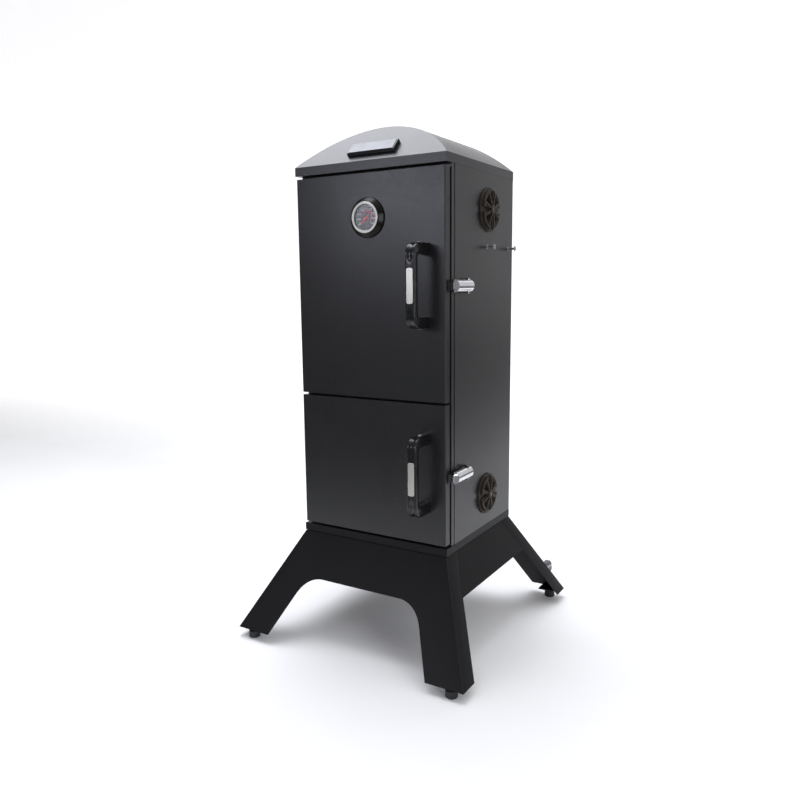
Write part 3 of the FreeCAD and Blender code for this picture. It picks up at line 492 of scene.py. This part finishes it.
# painted shadow: a dark strip set behind the gap under the base rail so the gap reads as a shadow line
bm = bmesh.new()
hx, hy, th = 0.2030, 0.1795, 0.0012
for x0, x1, y0, y1 in ((-hx, hx, -hy, -hy + th), (-hx, hx, hy - th, hy), (-hx, -hx + th, -hy, hy), (hx - th, hx, -hy, hy)):
    r = bmesh.ops.create_cube(bm, size=1.0)
    for v in r["verts"]:
        v.co = Vector(((x0 + x1) / 2 + v.co.x * (x1 - x0), YC + (y0 + y1) / 2 + v.co.y * (y1 - y0), 0.2605 + v.co.z * 0.018))
finish_mesh("leg_top_strip", bm, "black_steel", BODY_OF["base_pan"], (), 30.0, 0.0)

# ------------------------------------------------------------------ handles
def handle_grip(node, zc):
    """Rounded grip: an outline swept over the width, with a scoop running out towards the inlay at each end."""
    hxc, yd, h2 = 0.152, YC - 0.183, 0.094
    yo = yd - 0.068
    pts = []                                    # (y, z, scoop)  upper half, door face outwards and back

    def arc(cy, cz, r, a0, a1, n, s0, s1):
        for i in range(n + 1):
            a = math.radians(a0 + (a1 - a0) * i / n)
            pts.append((cy + r * math.cos(a), cz + r * math.sin(a), s0 + (s1 - s0) * i / n))

    pts.append((yd, h2, 0.0))
    for k in range(1, 5):
        pts.append((yd - 0.009 * k, h2, 0.1 * k))
    arc(yo + 0.027, h2 - 0.027, 0.027, 90, 180, 12, 0.55, 1.0)
    for k in range(1, 9):
        f = k / 8.0
        pts.append((yo, h2 - 0.027 - f * 0.023, 1.0 - f))
    pts.append((yo, 0.030, 0.0))
    pts.append((yo, 0.0, 0.0))
    outer_n = len(pts)
    low = [(y, -z, s) for y, z, s in reversed(pts[:-1])]
    pts += low
    inner = [(yd, h2 - 0.025, 0.0), (yd - 0.020, h2 - 0.025, 0.0)]
    arc_pts = []
    for i in range(7):
        a = math.radians(90 + 90 * i / 6)
        arc_pts.append((yo + 0.017 + 0.010 + 0.010 * math.cos(a), h2 - 0.025 - 0.010 + 0.010 * math.sin(a), 0.0))
    inner += arc_pts
    inner += [(yo + 0.017, 0.020, 0.0)]
    loop = pts + [(y, -z, s) for y, z, s in inner] + list(reversed(inner))
    n = len(loop)
    cyc = []
    for k in range(n):
        y0_, z0_, _ = loop[k - 1]
        y1_, z1_, _ = loop[(k + 1) % n]
        ty, tz = y1_ - y0_, z1_ - z0_
        ln = math.hypot(ty, tz) or 1.0
        cyc.append((tz / ln, -ty / ln))
    area2 = sum(loop[k][0] * loop[(k + 1) % n][1] - loop[(k + 1) % n][0] * loop[k][1] for k in range(n))
    sg = 1.0 if area2 > 0 else -1.0
    W2, rr = 0.012, 0.0034
    xs = []
    for i in range(6):
        a = math.pi / 2 * i / 5
        xs.append((-W2 + rr - rr * math.cos(a), rr - rr * math.sin(a)))
    inside = [-0.0076, -0.0062, -0.0046, -0.003, -0.0015, 0.0, 0.0015, 0.003, 0.0046, 0.0062, 0.0076]
    xs += [(x, 0.0) for x in inside]
    xs += [(-x, o) for x, o in reversed(xs[:6])]
    bm = bmesh.new()
    rings = []
    for x, off in xs:
        ring_ = []
        for k, (y, z, s) in enumerate(loop):
            ny, nz = cyc[k][0] * sg, cyc[k][1] * sg
            fade = min(1.0, max(0.0, (yd - y) / 0.006))
            d = off * fade
            if s > 0.0:
                half = 0.0015 + 0.0070 * min(1.0, s * 1.6)
                u = max(0.0, 1.0 - abs(x) / half)
                u = u * u * (3.0 - 2.0 * u)
                d += 0.0018 * min(1.0, s * 1.5) * u * (1.0 if s >= 0.5 else s / 0.5)
            ring_.append(bm.verts.new((hxc + x, y - ny * d, zc + z - nz * d)))
        rings.append(ring_)
    for a, b in zip(rings[:-1], rings[1:]):
        for k in range(n):
            bm.faces.new((a[k], a[(k + 1) % n], b[(k + 1) % n], b[k]))
    for ring_, flip in ((rings[0], False), (rings[-1], True)):
        for tri in tessellate_polygon([[v.co.copy() for v in ring_]]):
            vs_ = [ring_[i] for i in tri]
            bm.faces.new(list(reversed(vs_)) if flip else vs_)
    finish_mesh(node + "_v", bm, "black_resin", BODY_OF[node], (node,), 50.0)


handle_grip("upper_handle_grip", 0.8866)
handle_grip("lower_handle_grip", 0.4566)

for n in ("upper_handle_inlay", "lower_handle_inlay"):
    refine(n, 0.0007, 3)
NODES["thermometer_ring"].data.materials[0] = M["ring_satin"]
NODES["thermometer_housing"].data.materials[0] = M["bezel_resin"]

# ------------------------------------------------------------------ thermometer print
GX, GZ = 0.0020, 1.0430
GY = YC - 0.183 - 0.0066            # dial front


def dial_pt(r, a, d=0.0):
    """r in metres, a in degrees clockwise from the top as seen from the front"""
    return Vector((GX + r * math.sin(math.radians(a)), GY - d, GZ + r * math.cos(math.radians(a))))


def flat_strip(bm, inner, outer, d0=0.00002, d1=0.00010):
    lo_ = [(bm.verts.new(i - Vector((0, d0, 0))), bm.verts.new(o - Vector((0, d0, 0)))) for i, o in zip(inner, outer)]
    hi_ = [(bm.verts.new(i - Vector((0, d1, 0))), bm.verts.new(o - Vector((0, d1, 0)))) for i, o in zip(inner, outer)]
    n = len(lo_)
    for k in range(n - 1):
        bm.faces.new((hi_[k][0], hi_[k + 1][0], hi_[k + 1][1], hi_[k][1]))
        bm.faces.new((lo_[k][0], lo_[k][1], lo_[k + 1][1], lo_[k + 1][0]))
        bm.faces.new((lo_[k][0], lo_[k + 1][0], hi_[k + 1][0], hi_[k][0]))
        bm.faces.new((lo_[k][1], hi_[k][1], hi_[k + 1][1], lo_[k + 1][1]))
    for k in (0, n - 1):
        bm.faces.new((lo_[k][0], hi_[k][0], hi_[k][1], lo_[k][1]))


bm = bmesh.new()
inner, outer = [], []
for k in range(73):
    f = k / 72
    a = 252.0 + 228.0 * f
    wdt = 0.0004 + 0.0043 * f ** 1.4
    inner.append(dial_pt(0.0168 - wdt, a))
    outer.append(dial_pt(0.0168, a))
flat_strip(bm, inner, outer)
finish_mesh("dial_arc", bm, "ink_red", BODY_OF["thermometer_dial"], ())
bm = bmesh.new()
for k in range(41):
    a = 230.0 + 260.0 * k / 40
    big = k % 5 == 0
    r0, r1, hw = (0.0236, 0.0270, 0.00035) if big else (0.0252, 0.0268, 0.0002)
    t0 = Vector((math.cos(math.radians(a)), 0, -math.sin(math.radians(a)))) * hw
    flat_strip(bm, [dial_pt(r0, a) - t0, dial_pt(r0, a) + t0], [dial_pt(r1, a) - t0, dial_pt(r1, a) + t0])
flat_strip(bm, [dial_pt(0.0276, a) for a in range(226, 495, 4)], [dial_pt(0.0279, a) for a in range(226, 495, 4)])
finish_mesh("dial_ticks", bm, "ink_white", BODY_OF["thermometer_dial"], ())
for k in range(9):
    a = 230.0 + 260.0 * k / 8
    cu = bpy.data.curves.new("num_%d" % k, "FONT")
    cu.body = str(50 * (k + 1))
    cu.size = 0.0058
    cu.align_x = "CENTER"
    cu.align_y = "CENTER"
    cu.extrude = 0.00003
    tmp = bpy.data.objects.new("num_tmp_%d" % k, cu)
    bpy.context.scene.collection.objects.link(tmp)
    bpy.context.view_layer.update()
    me = bpy.data.meshes.new_from_object(tmp.evaluated_get(bpy.context.evaluated_depsgraph_get()))
    bpy.data.objects.remove(tmp)
    bm = bmesh.new()
    bm.from_mesh(me)
    c = dial_pt(0.0203, a, 0.00007)
    for v in bm.verts:
        v.co = Vector((c.x + v.co.x, c.y - v.co.z, c.z + v.co.y))
    finish_mesh("dial_number_%d" % k, bm, "ink_white", BODY_OF["thermometer_dial"], ())

# ------------------------------------------------------------------ camera
cam_data = bpy.data.cameras.new("camera")
cam = bpy.data.objects.new("camera", cam_data)
bpy.context.scene.collection.objects.link(cam)
cam_data.sensor_width = 36.0
cam_data.lens = 739.53 / 800.0 * 36.0
cam_data.clip_start = 0.05
cam_data.clip_end = 60.0
# rows: the camera's right, down and forward directions in the row frame
CR = Vector((0.8557, 0.5174, -0.0098))
CD = Vector((0.0705, -0.1354, -0.9883))
CF = Vector((-0.5127, 0.845, -0.1523))
rot = Matrix((CR, -CD, -CF)).transposed().to_4x4()
rot = rot.to_quaternion().normalized().to_matrix().to_4x4()
cam.matrix_world = Matrix.Translation(Vector((0.96924, -1.458980 - 0.183 - 0.008695, 0.88675))) @ rot
bpy.context.scene.camera = cam

# ------------------------------------------------------------------ stage
fm = Mat("floor_pale")
fn = fm.noise(2.0, 3.0, 0.5)
fsep = fm.node("ShaderNodeSeparateXYZ")
fgeo = fm.node("ShaderNodeNewGeometry")
fm.link(fgeo.outputs["Position"], fsep.inputs[0])
# painted shade: the floor is darkened far to the front left and off to the right, out of view, so the object reflects a
# darker surround
fs = fm.math("ADD", fm.math("MULTIPLY", fsep.outputs[0], -0.55), fm.math("MULTIPLY", fsep.outputs[1], -0.83))
flow = fm.range(fsep.outputs[2], 0.3, 1.3, 1.0, 0.0)
floor_painted_shade = fm.math("MAXIMUM", fm.math("MULTIPLY", fm.range(fs, 1.08, 1.5, 0.0, 1.0), fm.range(fsep.outputs[1], -0.8, -0.3, 1.0, 0.0)),
                fm.math("MULTIPLY", fm.range(fsep.outputs[0], 1.0, 1.25, 0.0, 0.95), flow))
pale = fm.ramp(fn, [(0.3, (0.90, 0.90, 0.905)), (0.7, (0.93, 0.93, 0.935))])
fm.colour(fm.mix(floor_painted_shade, pale, (0.14, 0.14, 0.147)))
fm.rough(fm.range(fm.noise(30.0, 2.0, 0.5), 0.3, 0.7, 0.75, 0.9))
# painted light: the floor and backdrop glow by emission, stronger towards the back and weaker to the right, standing in
# for lamps on the backdrop
floor_painted_glow = fm.math("MULTIPLY", fm.range(fsep.outputs[1], 0.9, 3.2, 0.0, 0.62),
                fm.math("SUBTRACT", 1.0, fm.math("MULTIPLY", fm.range(fsep.outputs[0], 0.9, 1.6, 0.0, 1.0), fm.math("MAXIMUM", flow, 0.55))))
fm.link(floor_painted_glow, fm.bsdf.inputs["Emission Strength"])
fm.set(Emission_Color=(1.0, 1.0, 1.0, 1.0))
bm = bmesh.new()
S, B, H = 7.0, 5.0, 7.0
prof = [(-S, 0.0), (B - 2.0, 0.0)]
for i in range(1, 13):
    a = math.pi / 2 * i / 12
    prof.append((B - 2.0 + 2.0 * math.sin(a), 2.0 - 2.0 * math.cos(a)))
prof.append((B, H))
vs = [[bm.verts.new((x, y, z)) for y, z in prof] for x in (-18.0, 9.0)]
for i in range(len(prof) - 1):
    bm.faces.new((vs[0][i], vs[0][i + 1], vs[1][i + 1], vs[1][i]))
me = bpy.data.meshes.new("floor")
bm.to_mesh(me)
bm.free()
for p in me.polygons:
    p.use_smooth = True
floor = bpy.data.objects.new("floor", me)
bpy.context.scene.collection.objects.link(floor)
me.materials.append(fm.m)


def area(name, loc, target, size, power, colour=(1, 1, 1), size_y=None):
    d = bpy.data.lights.new(name, "AREA")
    d.shape = "RECTANGLE"
    d.size = size
    d.size_y = size_y or size
    d.energy = power
    d.color = colour
    o = bpy.data.objects.new(name, d)
    bpy.context.scene.collection.objects.link(o)
    o.location = loc
    o.rotation_euler = (Vector(target) - Vector(loc)).to_track_quat("-Z", "Y").to_euler()
    return o


area("overhead", (-0.5, 0.3, 2.6), (-0.1, 0.0, 1.0), 1.8, 56, (0.91, 0.93, 1.0), 1.8)
area("edge_right", (3.0, -1.85, 1.0), (0.2, -0.15, 0.75), 1.0, 34, (0.95, 0.97, 1.0), 2.0)
area("front_left", (-1.25, -3.1, 1.5), (0.0, -0.15, 1.05), 1.7, 18, (0.86, 0.88, 1.0), 0.55)

w = bpy.data.worlds.new("studio")
bpy.context.scene.world = w
w.use_nodes = True
wt = w.node_tree
wb = wt.nodes["Background"]
tc = wt.nodes.new("ShaderNodeTexCoord")
dot = wt.nodes.new("ShaderNodeVectorMath")
dot.operation = "DOT_PRODUCT"
dot.inputs[1].default_value = (0.19, 0.29, 1.0)      # up, leaning away from the front left
wt.links.new(tc.outputs["Generated"], dot.inputs[0])
wr = wt.nodes.new("ShaderNodeValToRGB")
wr.color_ramp.interpolation = "EASE"
els = wr.color_ramp.elements
els[0].position, els[0].color = 0.05, (0.21, 0.21, 0.225, 1)
els[1].position, els[1].color = 0.95, (1.0, 1.0, 1.0, 1)
e = els.new(0.42)
e.color = (0.24, 0.24, 0.25, 1)
wt.links.new(dot.outputs["Value"], wr.inputs[0])
wt.links.new(wr.outputs[0], wb.inputs[0])
wb.inputs[1].default_value = 1.05
bpy.context.scene.view_settings.view_transform = "Standard"
